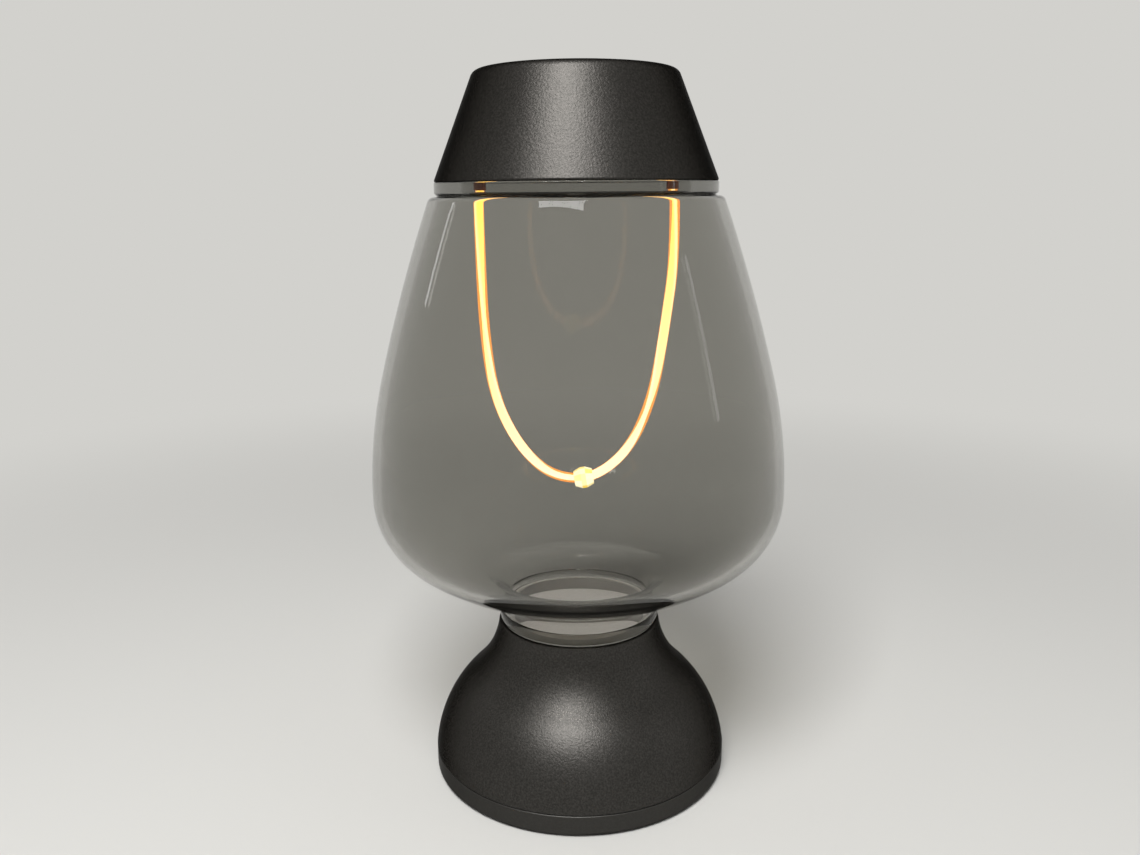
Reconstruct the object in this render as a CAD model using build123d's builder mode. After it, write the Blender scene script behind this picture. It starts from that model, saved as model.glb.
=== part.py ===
from build123d import *
import os
from math import cos, radians, sin, sqrt, tan

os.makedirs("parts", exist_ok=True)

# Cordless night light. Two soft filaments hang in a blown glass globe, between a cap that holds
# the battery and the works and a weighted base. Sizes are in millimetres, +Z is up, the table is
# at zero, the front is -Y, and a lean is in degrees outwards from straight down.

# Driving sizes of the base
base_radius = 37.1
base_wall = 2.2
foot_proud = 0.5
seam_height = 5.5
seam_chamfer = 0.3
seam_lean = 7
dome_ratio = 0.79
collar_step = 0.7
collar_height = 38.9
collar_lean = 7

# Driving sizes of the globe, each height counted from the one below it
globe_radius = 50.0
glass_wall = 2.0
neck_radius = 19.5
neck_fillet = 6.5
neck_rise = 2.8
lip_swell = 0.4
belly_rise = 31.1
funnel_lean = -73
funnel_ratio = 1.08
shoulder_radius = 34.0
shoulder_rise = 69.6
shoulder_lean = 20
shoulder_ratio = 1.5
ring_inset = 1.6
ring_rise = 0.3
ring_height = 3.1
ring_ledge = 3.9
mouth_rise = 4.0

# Driving sizes of the cap; its height follows from what is stacked in it
cap_overhang = 0.4
cap_draw = 9.6
cap_edge = 2.0
cap_wall = 1.8
roof_thickness = 2.0
floor_rise = 0.8
floor_thickness = 2.6

# Driving sizes of the works
pad_thickness = 0.8
battery_thickness = 7.0
battery_side_room = 14.0
battery_end_room = 9.0
board_rise = 2.6
board_thickness = 1.2
switch_height = 3.4
plunger_rise = 0.8
button_radius = 7.0
button_proud = 0.4
button_travel = 0.8
button_post = 1.7
button_flange_thickness = 1.2
usb_width = 9.0
usb_length = 7.4
usb_height = 3.2
strand_radius = 1.2
strand_inset = 3.7
bead_wall = 1.4
bead_tilt = 9

# Clearances
slide = 0.3
snug = 0.2
loose = 0.15
thread = 0.05
tip_room = 1.0

# Radii and heights that follow
collar_radius = neck_radius + collar_step
ring_radius = shoulder_radius - ring_inset
mouth_outer = ring_radius - ring_ledge
mouth_bore = mouth_outer - glass_wall
cap_bottom_radius = ring_radius + cap_overhang
cap_top_radius = cap_bottom_radius - cap_draw
strand_span = mouth_bore - strand_inset
seal_thickness = 0.4
lip_bottom = collar_height + seal_thickness
neck_height = lip_bottom + neck_rise
belly_height = neck_height + belly_rise
shoulder_height = belly_height + shoulder_rise
ring_bottom = shoulder_height + ring_rise
seat = ring_bottom + ring_height
mouth_top = seat + mouth_rise
floor_bottom = seat + floor_rise
floor_top = floor_bottom + floor_thickness
battery_bottom = floor_top + pad_thickness
battery_top = battery_bottom + battery_thickness
board_bottom = battery_top + board_rise
board_top = board_bottom + board_thickness
plunger_top = board_top + switch_height + plunger_rise
flange_bottom = plunger_top + button_post
flange_top = flange_bottom + button_flange_thickness
roof_under = flange_top + snug
cap_top = roof_under + roof_thickness
usb_middle = board_top + usb_height / 2


def down(lean):
    """Unit vector straight down, leant outwards."""
    return Vector(sin(radians(lean)), -cos(radians(lean)))


def out(lean):
    """Unit vector square to down(lean), away from the axis."""
    return Vector(cos(radians(lean)), sin(radians(lean)))


def two_arcs(start, start_lean, end, end_lean, ratio, inset=0.0):
    """Draw two arcs, tangent to each other, from start to end, or the same arcs an inset further in.

    The ratio is the first arc's tangent length over the second's. Returns the two ends.
    """
    start, end = Vector(*start), Vector(*end)
    leave, arrive = down(start_lean), down(end_lean)
    span = end - start
    mixed = leave * ratio + arrive
    along = span.dot(mixed)
    slack = (1 + ratio) ** 2 - mixed.dot(mixed)
    reach = span.dot(span) / (along + sqrt(along**2 + span.dot(span) * slack))
    near = start + leave * (ratio * reach)
    far = end - arrive * reach
    middle = near + (far - near) * (ratio / (1 + ratio))
    through = (far - near).normalized()
    start = start - out(start_lean) * inset
    end = end - out(end_lean) * inset
    middle = middle - Vector(-through.Y, through.X) * inset
    TangentArc(start, middle, tangent=leave)
    TangentArc(middle, end, tangent=through)
    return start, end


def bends(points):
    """Corner radii that leave a tenth of each run straight."""
    points = [Vector(*p) for p in points]
    radii = []
    for before, corner, after in zip(points, points[1:], points[2:]):
        run = min((corner - before).length, (after - corner).length)
        turn = (corner - before).get_angle(after - corner)
        radii.append(0.45 * run / tan(radians(turn) / 2))
    return radii


# Base pan sizes: the band under the seam, the foot ring's groove, the screws and the ballast
pan_bottom = foot_proud
pan_floor = 2.6
pan_top = pan_bottom + pan_floor
pan_round = 0.8
tongue_radius = base_radius - base_wall - slide
tongue_width = 1.8
tongue_rise = 1.8
tongue_round = 0.4
well_round = 0.6
pan_edge = 2.0
foot_width = 4.0
foot_round = 0.4
groove_outer = base_radius - pan_edge
groove_inner = groove_outer - foot_width
screw_head = 2.6
screw_recess = 1.5
boss_room = 1.5
boss_circle = groove_inner - screw_head - boss_room
boss_radius = 3.2
boss_pilot = 1.1
base_screw_depth = 10.0
ballast_gap = 1.3
ballast_radius = boss_circle - boss_radius - ballast_gap
ballast_height = 10.0
ballast_chamfer = 0.8
ballast_pilot = 2.0
ballast_head = 3.4
ballast_head_round = 0.4
ballast_grip = 8.0

# Base shell: an ogee dome with a collar on top, hollow, with three screw bosses
spigot_wall = 1.3
spigot_rise = 1.2
spigot_radius = neck_radius - glass_wall - slide
spigot_bore = spigot_radius - spigot_wall
spigot_top = collar_height + spigot_rise
disc_thickness = 1.4
disc_drop = 2.9
disc_round = 0.4
disc_seat = collar_height - disc_drop - disc_thickness
ceiling_thickness = 1.6
ceiling = disc_seat - ceiling_thickness
collar_round = 0.5

collar = (collar_radius, collar_height)
dome_foot = (base_radius, seam_height + seam_chamfer)

with BuildPart() as base_hollow:
    with BuildSketch(Plane.XZ):
        with BuildLine():
            top, foot = two_arcs(collar, collar_lean, dome_foot, seam_lean, dome_ratio, base_wall)
            Polyline(foot, (foot.X, seam_height), (0, seam_height), (0, top.Y), top)
        make_face()
    revolve(axis=Axis.Z)
    split(bisect_by=Plane.XY.offset(ceiling), keep=Keep.BOTTOM)
    with PolarLocations(boss_circle, 3, start_angle=90):
        Cylinder(boss_radius, 2 * collar_height, mode=Mode.SUBTRACT)

with BuildPart() as base_shell:
    with BuildSketch(Plane.XZ):
        with BuildLine():
            top, foot = two_arcs(collar, collar_lean, dome_foot, seam_lean, dome_ratio)
            Polyline(foot, (base_radius - seam_chamfer, seam_height), (0, seam_height), (0, top.Y), top)
        make_face()
    revolve(axis=Axis.Z)
    fillet(base_shell.edges().filter_by(GeomType.CIRCLE).sort_by(Axis.Z)[-1], collar_round)
    add(base_hollow.part, mode=Mode.SUBTRACT)
    with BuildSketch(Plane.XY.offset(disc_seat)):
        Circle(spigot_bore)
    extrude(amount=collar_height - disc_seat, mode=Mode.SUBTRACT)
    with BuildSketch(Plane.XY.offset(disc_seat)):
        Circle(spigot_radius)
        Circle(spigot_bore, mode=Mode.SUBTRACT)
    extrude(amount=spigot_top - disc_seat)
    with BuildSketch(Plane.XY.offset(pan_top)):
        with PolarLocations(boss_circle, 3, start_angle=90):
            Circle(boss_radius)
    extrude(amount=seam_height - pan_top)
    with BuildSketch(Plane.XY.offset(pan_top)):
        with PolarLocations(boss_circle, 3, start_angle=90):
            Circle(boss_pilot)
    extrude(amount=base_screw_depth, mode=Mode.SUBTRACT)

# Base pan: closes the dome from below; its band shows under the seam and a tongue locates it
with BuildPart() as base_pan:
    with BuildSketch(Plane.XZ):
        with BuildLine():
            FilletPolyline(
                (0, pan_bottom),
                (base_radius, pan_bottom),
                (base_radius, seam_height),
                (tongue_radius, seam_height),
                (tongue_radius, seam_height + tongue_rise),
                (tongue_radius - tongue_width, seam_height + tongue_rise),
                (tongue_radius - tongue_width, pan_top),
                (0, pan_top),
                radius=(pan_round, seam_chamfer, 0, tongue_round, tongue_round, well_round),
            )
            Line((0, pan_top), (0, pan_bottom))
        make_face()
    revolve(axis=Axis.Z)
    with BuildSketch(Plane.XY.offset(pan_bottom)):
        Circle(groove_outer)
        Circle(groove_inner, mode=Mode.SUBTRACT)
    extrude(amount=foot_proud, mode=Mode.SUBTRACT)
    with Locations(-Plane.XY.offset(pan_bottom)):
        with PolarLocations(boss_circle, 3, start_angle=270):
            CounterBoreHole(boss_pilot + slide, screw_head + slide, screw_recess, pan_floor)
        CounterBoreHole(ballast_pilot + slide, ballast_head + slide, screw_recess, pan_floor)

with BuildPart() as foot_ring:
    with BuildSketch():
        Circle(groove_outer - loose)
        Circle(groove_inner + loose, mode=Mode.SUBTRACT)
    extrude(amount=2 * foot_proud)
    fillet(foot_ring.faces().sort_by(Axis.Z)[0].edges(), foot_round)

# Ballast: a steel disc that keeps the tall globe steady, held to the pan by one screw
with BuildPart() as ballast:
    with BuildSketch(Plane.XY.offset(pan_top)):
        Circle(ballast_radius)
        Circle(ballast_pilot, mode=Mode.SUBTRACT)
    extrude(amount=ballast_height)
    chamfer(ballast.edges().filter_by(GeomType.CIRCLE).sort_by(SortBy.RADIUS)[-2:], ballast_chamfer)

with BuildPart() as ballast_screw:
    with BuildSketch(Plane.XY.offset(pan_bottom + screw_recess)):
        Circle(ballast_pilot - thread)
    extrude(amount=pan_floor - screw_recess + ballast_grip)
    with BuildSketch(Plane.XY.offset(pan_bottom + loose)):
        Circle(ballast_head)
    extrude(amount=screw_recess - loose)
    fillet(ballast_screw.edges().sort_by(Axis.Z)[0], ballast_head_round)

with BuildPart() as base_screws:
    with BuildSketch(Plane.XY.offset(pan_bottom + screw_recess)):
        with PolarLocations(boss_circle, 3, start_angle=90):
            Circle(boss_pilot - thread)
    extrude(amount=pan_floor - screw_recess + base_screw_depth - tip_room)
    with BuildSketch(Plane.XY.offset(pan_bottom + loose)):
        with PolarLocations(boss_circle, 3, start_angle=90):
            Circle(screw_head)
    extrude(amount=screw_recess - loose)

# Neck: a pale disc set in the collar, and the soft seal that the glass lip stands on
with BuildPart() as neck_disc:
    with BuildSketch(Plane.XY.offset(disc_seat)):
        Circle(spigot_bore - loose)
    extrude(amount=disc_thickness)
    fillet(neck_disc.edges().sort_by(Axis.Z)[-1], disc_round)

with BuildPart() as neck_seal:
    with BuildSketch(Plane.XY.offset(collar_height)):
        Circle(neck_radius - loose)
        Circle(spigot_radius + loose, mode=Mode.SUBTRACT)
    extrude(amount=seal_thickness)

# Globe: blown glass of even wall, from the lip on the collar to the mouth inside the cap
mouth_round = 1.5
rim_round = 0.8
ring_round = 0.6
ring_foot_round = 0.3
funnel_end = Vector(
    neck_radius + neck_fillet * (1 - cos(radians(funnel_lean))),
    neck_height - neck_fillet * sin(radians(funnel_lean)),
)
belly = (globe_radius, belly_height)
shoulder = (shoulder_radius, shoulder_height)


def globe_side(inset):
    """Draw the globe's side from shoulder to neck, and return both ends."""
    high, _ = two_arcs(shoulder, shoulder_lean, belly, 0, shoulder_ratio, inset)
    _, low = two_arcs(belly, 0, funnel_end, funnel_lean, funnel_ratio, inset)
    neck = (neck_radius - inset, neck_height)
    TangentArc(low, neck, tangent=down(funnel_lean))
    return high, neck


with BuildPart() as globe:
    with BuildSketch(Plane.XZ):
        with BuildLine():
            high_out, neck_out = globe_side(0)
            high_in, neck_in = globe_side(glass_wall)
            FilletPolyline(
                high_in,
                (mouth_bore, high_in.Y),
                (mouth_bore, mouth_top),
                (mouth_outer, mouth_top),
                (mouth_outer, seat),
                (ring_radius, seat),
                (ring_radius, ring_bottom),
                high_out,
                radius=(mouth_round, rim_round, rim_round, ring_round, ring_round, ring_foot_round),
            )
            SagittaArc(neck_out, (neck_radius, lip_bottom), lip_swell)
            Polyline((neck_radius, lip_bottom), (neck_in[0], lip_bottom), neck_in)
        make_face()
    revolve(axis=Axis.Z)

# Cap floor: a plug in the glass mouth that carries the filaments and closes the cap
plug_gap = 0.25
plug_chamfer = 0.5
floor_radius = mouth_bore - plug_gap
rim_width = 1.2
rim_rise = 1.4
rim_top = mouth_top + rim_rise
seal_groove = 1.6
seal_depth = 1.0
seal_rise = 0.8
seal_bottom = floor_bottom + seal_rise
gasket_round = 0.5
cap_boss_inset = 4.7
cap_boss_circle = mouth_bore - cap_boss_inset
cap_boss_radius = 2.4
cap_pilot = 1.0
cap_head = 1.9
cap_recess = 1.4
cap_screw_depth = 9.0
ferrule_wall = 0.3
ferrule_bore = strand_radius + 2 * thread
ferrule_radius = ferrule_bore + ferrule_wall
ferrule_drop = 1.8
ferrule_bottom = seat - ferrule_drop

with BuildPart() as cap_floor:
    with BuildSketch(Plane.XZ):
        with BuildLine():
            Polyline(
                (0, floor_bottom),
                (floor_radius - plug_chamfer, floor_bottom),
                (floor_radius, floor_bottom + plug_chamfer),
                (floor_radius, seal_bottom),
                (floor_radius - seal_depth, seal_bottom),
                (floor_radius - seal_depth, seal_bottom + seal_groove),
                (floor_radius, seal_bottom + seal_groove),
                (floor_radius, mouth_top + slide),
                (mouth_outer - snug, mouth_top + slide),
                (mouth_outer - snug, rim_top),
                (floor_radius - rim_width, rim_top),
                (floor_radius - rim_width, floor_top),
                (0, floor_top),
                close=True,
            )
        make_face()
    revolve(axis=Axis.Z)
    with Locations(-Plane.XY.offset(floor_bottom)):
        with PolarLocations(cap_boss_circle, 3, start_angle=90):
            CounterBoreHole(cap_pilot + loose, cap_head + loose, cap_recess, floor_thickness)
    with BuildSketch(Plane.XY.offset(floor_bottom)):
        with Locations((-strand_span, 0), (strand_span, 0)):
            Circle(ferrule_radius + thread)
    extrude(amount=floor_thickness, mode=Mode.SUBTRACT)

with BuildPart() as cap_gasket:
    with BuildSketch(Plane.XZ):
        with Locations((floor_radius - seal_depth + thread, seal_bottom + thread)):
            Rectangle(seal_depth + thread, seal_groove - 2 * thread, align=(Align.MIN, Align.MIN))
        fillet(vertices().group_by(Axis.X)[-1], gasket_round)
    revolve(axis=Axis.Z)

# Cap shell: a plain cone with a rounded top edge, hollow, with bosses for the floor and the board
cap_inner_round = 1.0
cap_foot_round = 0.4
taper = cap_draw / (cap_top - seat)
wall_across = cap_wall * sqrt(1 + taper**2)


def cap_inside(height):
    """Radius of the cap's inner wall at a height."""
    return cap_bottom_radius - wall_across - taper * (height - seat)


button_flange_width = 1.6
button_flange = button_radius + button_flange_width
post_gap = 2.7
post_radius = 2.2
post_pilot = 0.9
post_circle = button_flange + post_radius + post_gap
post_angle = 45
board_head = 1.7
board_head_height = 1.2
board_screw_depth = 4.5
usb_set_in = 1.2
usb_mouth = cap_inside(usb_middle) + wall_across - usb_set_in

with BuildPart() as cap_hollow:
    with BuildSketch(Plane.XZ):
        with BuildLine():
            Polyline(
                (0, seat), (cap_inside(seat), seat), (cap_inside(roof_under), roof_under), (0, roof_under), close=True
            )
        make_face()
    revolve(axis=Axis.Z)
    fillet(cap_hollow.edges().sort_by(Axis.Z)[-1], cap_inner_round)
    with BuildSketch(Plane.XY.offset(floor_top)):
        with PolarLocations(cap_boss_circle, 3, start_angle=270):
            Circle(cap_boss_radius)
    extrude(amount=roof_under - floor_top, mode=Mode.SUBTRACT)
    with BuildSketch(Plane.XY.offset(board_top)):
        with PolarLocations(post_circle, 2, start_angle=post_angle):
            Circle(post_radius)
    extrude(amount=roof_under - board_top, mode=Mode.SUBTRACT)

with BuildPart() as cap_shell:
    with BuildSketch(Plane.XZ):
        with BuildLine():
            Polyline(
                (0, seat), (cap_bottom_radius, seat), (cap_top_radius, cap_top), (0, cap_top), close=True
            )
        make_face()
    revolve(axis=Axis.Z)
    fillet(cap_shell.edges().filter_by(GeomType.CIRCLE).sort_by(Axis.Z)[-1], cap_edge)
    fillet(cap_shell.edges().filter_by(GeomType.CIRCLE).sort_by(Axis.Z)[0], cap_foot_round)
    add(cap_hollow.part, mode=Mode.SUBTRACT)
    with BuildSketch(Plane.XY.offset(roof_under)):
        Circle(button_radius + slide)
    extrude(amount=roof_thickness, mode=Mode.SUBTRACT)
    with BuildSketch(Plane.XY.offset(floor_top)):
        with PolarLocations(cap_boss_circle, 3, start_angle=270):
            Circle(cap_pilot)
    extrude(amount=cap_screw_depth, mode=Mode.SUBTRACT)
    with BuildSketch(Plane.XY.offset(board_top)):
        with PolarLocations(post_circle, 2, start_angle=post_angle):
            Circle(post_pilot)
    extrude(amount=board_screw_depth, mode=Mode.SUBTRACT)
    with BuildSketch(Plane.XZ.offset(-usb_mouth + usb_length)):
        with Locations((0, usb_middle)):
            SlotOverall(usb_width + 2 * slide, usb_height + 2 * slide)
    extrude(amount=-cap_bottom_radius, mode=Mode.SUBTRACT)

with BuildPart() as cap_screws:
    with BuildSketch(Plane.XY.offset(floor_bottom + loose)):
        with PolarLocations(cap_boss_circle, 3, start_angle=270):
            Circle(cap_head)
    extrude(amount=cap_recess - loose)
    with BuildSketch(Plane.XY.offset(floor_bottom + cap_recess)):
        with PolarLocations(cap_boss_circle, 3, start_angle=270):
            Circle(cap_pilot - thread)
    extrude(amount=floor_thickness - cap_recess + cap_screw_depth - tip_room)

# Battery: a flat pouch cell on a foam pad, cut to the room in the mouth, with two leads at its front
battery_width = 2 * (mouth_bore - battery_side_room)
battery_length = 2 * (mouth_bore - battery_end_room)
battery_corner = 2.0
battery_round = 1.2
pad_side = 0.5
pad_end = 2.5
with BuildPart() as battery_pad:
    with BuildSketch(Plane.XY.offset(floor_top)):
        Rectangle(battery_width - 2 * pad_side, battery_length - 2 * pad_end)
    extrude(amount=pad_thickness)

with BuildPart() as battery:
    with BuildSketch(Plane.XY.offset(battery_bottom)):
        Rectangle(battery_width, battery_length)
    extrude(amount=battery_thickness)
    fillet(battery.edges().filter_by(Axis.Z), battery_corner)
    fillet(battery.faces().filter_by(Axis.Z).edges(), battery_round)

# Board: a round card with a tab for the charging socket and notches for the bosses, under two posts
board_edge = 5.0
board_radius = post_circle + board_edge
tab_margin = 1.5
tab_set_back = 1.5
with BuildPart() as board:
    with BuildSketch(Plane.XY.offset(board_bottom)):
        Circle(board_radius)
        with Locations((0, usb_mouth - tab_set_back)):
            Rectangle(usb_width + 2 * tab_margin, board_radius, align=(Align.CENTER, Align.MAX))
        with PolarLocations(cap_boss_circle, 3, start_angle=270):
            Circle(cap_boss_radius + slide, mode=Mode.SUBTRACT)
        with PolarLocations(post_circle, 2, start_angle=post_angle):
            Circle(post_pilot + loose, mode=Mode.SUBTRACT)
    extrude(amount=board_thickness)

with BuildPart() as board_screws:
    with BuildSketch(Plane.XY.offset(board_bottom - board_head_height)):
        with PolarLocations(post_circle, 2, start_angle=post_angle):
            Circle(board_head)
    extrude(amount=board_head_height)
    with BuildSketch(Plane.XY.offset(board_bottom)):
        with PolarLocations(post_circle, 2, start_angle=post_angle):
            Circle(post_pilot - thread)
    extrude(amount=board_thickness + board_screw_depth - tip_room)

# Battery leads: from the cell's front end up to the board
lead_radius = 0.5
lead_side = 4.0
lead_reach = 1.9
lead_over = 0.7
lead_lift = 0.6
lead_inset = 2.0
tab_depth = 2.1
battery_front = -battery_length / 2
tab_height = battery_top - tab_depth
lead_end = lead_inset - board_radius
with BuildPart() as battery_leads:
    for side in (-lead_side, lead_side):
        route = [
            (side, battery_front, tab_height),
            (side, battery_front - lead_reach, tab_height),
            (side, battery_front - lead_reach, battery_top + lead_over),
            (side, lead_end, battery_top + lead_over + lead_lift),
            (side, lead_end, board_bottom),
        ]
        with BuildLine() as lead_path:
            FilletPolyline(*route, radius=bends(route))
        with BuildSketch(Plane(origin=route[0], z_dir=lead_path.line % 0)):
            Circle(lead_radius)
        sweep(path=lead_path.line)

# Driver: a chip and a coil under the board
chip_size = (4.0, 5.0, 1.6)
chip_chamfer = 0.3
coil_side = 4.0
coil_corner = 0.8
coil_height = 2.0
driver_side = 7.0
driver_back = 3.0
with BuildPart() as driver_chip:
    with BuildSketch(Plane.XY.offset(board_bottom - chip_size[2])):
        with Locations((-driver_side, driver_back)):
            Rectangle(chip_size[0], chip_size[1])
    extrude(amount=chip_size[2])
    chamfer(driver_chip.faces().sort_by(Axis.Z)[0].edges(), chip_chamfer)

with BuildPart() as boost_coil:
    with BuildSketch(Plane.XY.offset(board_bottom - coil_height)):
        with Locations((driver_side, driver_back)):
            RectangleRounded(coil_side, coil_side, coil_corner)
    extrude(amount=coil_height)

# Switch: a square body on the board, its plunger pressed by the button in the roof
switch_side = 6.0
switch_chamfer = 0.5
plunger_radius = 1.7
plunger_length = 2.0
plunger_bottom = plunger_top - plunger_length
with BuildPart() as switch_body:
    with BuildSketch(Plane.XY.offset(board_top)):
        Rectangle(switch_side, switch_side)
    extrude(amount=switch_height)
    chamfer(switch_body.edges().filter_by(Axis.Z), switch_chamfer)
    with BuildSketch(Plane.XY.offset(plunger_bottom - button_travel - slide)):
        Circle(plunger_radius + slide)
    extrude(amount=switch_height, mode=Mode.SUBTRACT)

with BuildPart() as switch_plunger:
    with BuildSketch(Plane.XY.offset(plunger_bottom)):
        Circle(plunger_radius)
    extrude(amount=plunger_length)

# Push button: a crowned disc with a flange that the roof holds in, and a post on the plunger
button_crown = 0.5
button_post_radius = 2.0
with BuildPart() as push_button:
    with BuildSketch(Plane.XZ):
        with BuildLine():
            crown = cap_top + button_proud
            Polyline(
                (0, crown),
                (0, plunger_top),
                (button_post_radius, plunger_top),
                (button_post_radius, flange_bottom),
                (button_flange, flange_bottom),
                (button_flange, flange_top),
                (button_radius, flange_top),
                (button_radius, crown - button_crown),
            )
            TangentArc((0, crown), (button_radius, crown - button_crown), tangent=(1, 0))
        make_face()
    revolve(axis=Axis.Z)

# Charging socket: a metal mouth at the back of the cap with a plastic tongue in it
usb_wall = 0.3
usb_back = 1.2
usb_depth = usb_length - usb_back
tongue_across = 6.7
tongue_thick = 0.7
tongue_set_back = 0.8
with BuildPart() as usb_shell:
    with BuildSketch(Plane.XZ.offset(-usb_mouth)):
        with Locations((0, usb_middle)):
            SlotOverall(usb_width, usb_height)
    extrude(amount=usb_length)
    with BuildSketch(Plane.XZ.offset(-usb_mouth)):
        with Locations((0, usb_middle)):
            SlotOverall(usb_width - 2 * usb_wall, usb_height - 2 * usb_wall)
    extrude(amount=usb_depth, mode=Mode.SUBTRACT)

with BuildPart() as usb_tongue:
    with BuildSketch(Plane.XZ.offset(-usb_mouth + usb_depth)):
        with Locations((0, usb_middle)):
            Rectangle(tongue_across, tongue_thick)
    extrude(amount=-(usb_depth - tongue_set_back))

# Filament ends: copper ferrules that hang by their shoulders in the cap floor
ferrule_shoulder = 0.4
shoulder_step = 0.6
strand_grip = 2.2
strand_top = ferrule_bottom + strand_grip
bore_room = 0.4
ferrule_top = floor_top + shoulder_step
with BuildPart() as filament_ends:
    with BuildSketch(Plane.XY.offset(ferrule_bottom)):
        with Locations((-strand_span, 0), (strand_span, 0)):
            Circle(ferrule_radius)
    extrude(amount=ferrule_top - ferrule_bottom)
    with BuildSketch(Plane.XY.offset(floor_top)):
        with Locations((-strand_span, 0), (strand_span, 0)):
            Circle(ferrule_radius + ferrule_shoulder)
    extrude(amount=shoulder_step)
    with BuildSketch(Plane.XY.offset(ferrule_bottom)):
        with Locations((-strand_span, 0), (strand_span, 0)):
            Circle(ferrule_bore)
    extrude(amount=strand_grip + bore_room, mode=Mode.SUBTRACT)

# Leads: from the filament ends up to the board's edge
wire_radius = 0.6
wire_inset = 2.2
wire_rise = 3.2
wire_drop = 2.6


def lead(side):
    """Path of a lead from a filament end up to the board."""
    foot = side * strand_span
    hole = side * (board_radius - wire_inset)
    return [
        (foot, 0, ferrule_top),
        (foot, 0, ferrule_top + wire_rise),
        (hole, 0, board_bottom - wire_drop),
        (hole, 0, board_bottom),
    ]


with BuildPart() as lead_left:
    with BuildLine() as left_lead_path:
        FilletPolyline(*lead(-1), radius=bends(lead(-1)))
    with BuildSketch(Plane.XY.offset(ferrule_top)):
        with Locations((-strand_span, 0)):
            Circle(wire_radius)
    sweep(path=left_lead_path.line)

with BuildPart() as lead_right:
    with BuildLine() as right_lead_path:
        FilletPolyline(*lead(1), radius=bends(lead(1)))
    with BuildSketch(Plane.XY.offset(ferrule_top)):
        with Locations((strand_span, 0)):
            Circle(wire_radius)
    sweep(path=right_lead_path.line)

# Filaments: two soft strands that hang from the cap and meet in a bead, a little right of the middle
bead_side = 1.4
bead_rise = 2
joint_half = 0.3
bead_middle = Vector(bead_side, 0, belly_height + bead_rise)
bead_axis = Vector(cos(radians(bead_tilt)), 0, sin(radians(bead_tilt)))
left_end = bead_middle - bead_axis * joint_half
right_end = bead_middle + bead_axis * joint_half
left_route = [
    (-strand_span, 0, strand_top),
    (-strand_span + 0.1, 0, seat - 18),
    (-strand_span + 0.7, 0, seat - 36),
    (-strand_span + 2.8, 0, seat - 51.5),
    (bead_middle.X - 15.1, 0, bead_middle.Z + 6.9),
    (bead_middle.X - 6.5, 0, bead_middle.Z - 0.5),
    tuple(left_end),
]
right_route = [
    (strand_span, 0, strand_top),
    (strand_span + 0.5, 0, seat - 16),
    (strand_span - 1.8, 0, seat - 34),
    (strand_span - 4.4, 0, seat - 50.5),
    (bead_middle.X + 11.7, 0, bead_middle.Z + 7.7),
    (bead_middle.X + 4, 0, bead_middle.Z + 0.7),
    tuple(right_end),
]

with BuildPart() as filament_left:
    with BuildLine() as left_path:
        FilletPolyline(*left_route, radius=bends(left_route))
    with BuildSketch(Plane(origin=left_route[0], z_dir=left_path.line % 0)):
        Circle(strand_radius)
    sweep(path=left_path.line)

with BuildPart() as filament_right:
    with BuildLine() as right_path:
        FilletPolyline(*right_route, radius=bends(right_route))
    with BuildSketch(Plane(origin=right_route[0], z_dir=right_path.line % 0)):
        Circle(strand_radius)
    sweep(path=right_path.line)

# Bead: a ten-sided cut bead on the joint of the two strands
bead_radius = strand_radius + bead_wall
bead_half = 2.3
bead_girdle = 0.6
bead_end_share = 0.72
bead_bore_room = 0.35
bead_plane = Plane(origin=bead_middle, x_dir=(0, 1, 0), z_dir=bead_axis)
with BuildPart() as bead:
    for along, share in (
        (-bead_half, bead_end_share),
        (-bead_girdle, 1),
        (bead_girdle, 1),
        (bead_half, bead_end_share),
    ):
        with BuildSketch(bead_plane.offset(along)):
            RegularPolygon(bead_radius * share, 10)
    loft(ruled=True)
    with BuildSketch(bead_plane.offset(-bead_half)):
        Circle(strand_radius + bead_bore_room)
    extrude(amount=2 * bead_half, mode=Mode.SUBTRACT)

pieces = {
    "base_shell": base_shell,
    "base_pan": base_pan,
    "foot_ring": foot_ring,
    "ballast": ballast,
    "ballast_screw": ballast_screw,
    "base_screws": base_screws,
    "neck_disc": neck_disc,
    "neck_seal": neck_seal,
    "globe": globe,
    "cap_shell": cap_shell,
    "cap_floor": cap_floor,
    "cap_gasket": cap_gasket,
    "cap_screws": cap_screws,
    "battery": battery,
    "battery_pad": battery_pad,
    "battery_leads": battery_leads,
    "board": board,
    "board_screws": board_screws,
    "driver_chip": driver_chip,
    "boost_coil": boost_coil,
    "switch_body": switch_body,
    "switch_plunger": switch_plunger,
    "push_button": push_button,
    "usb_shell": usb_shell,
    "usb_tongue": usb_tongue,
    "filament_ends": filament_ends,
    "lead_left": lead_left,
    "lead_right": lead_right,
    "filament_left": filament_left,
    "filament_right": filament_right,
    "bead": bead,
}
for name, piece in pieces.items():
    piece.part.label = name
    export_step(piece.part, f"parts/{name}.step")
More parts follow.
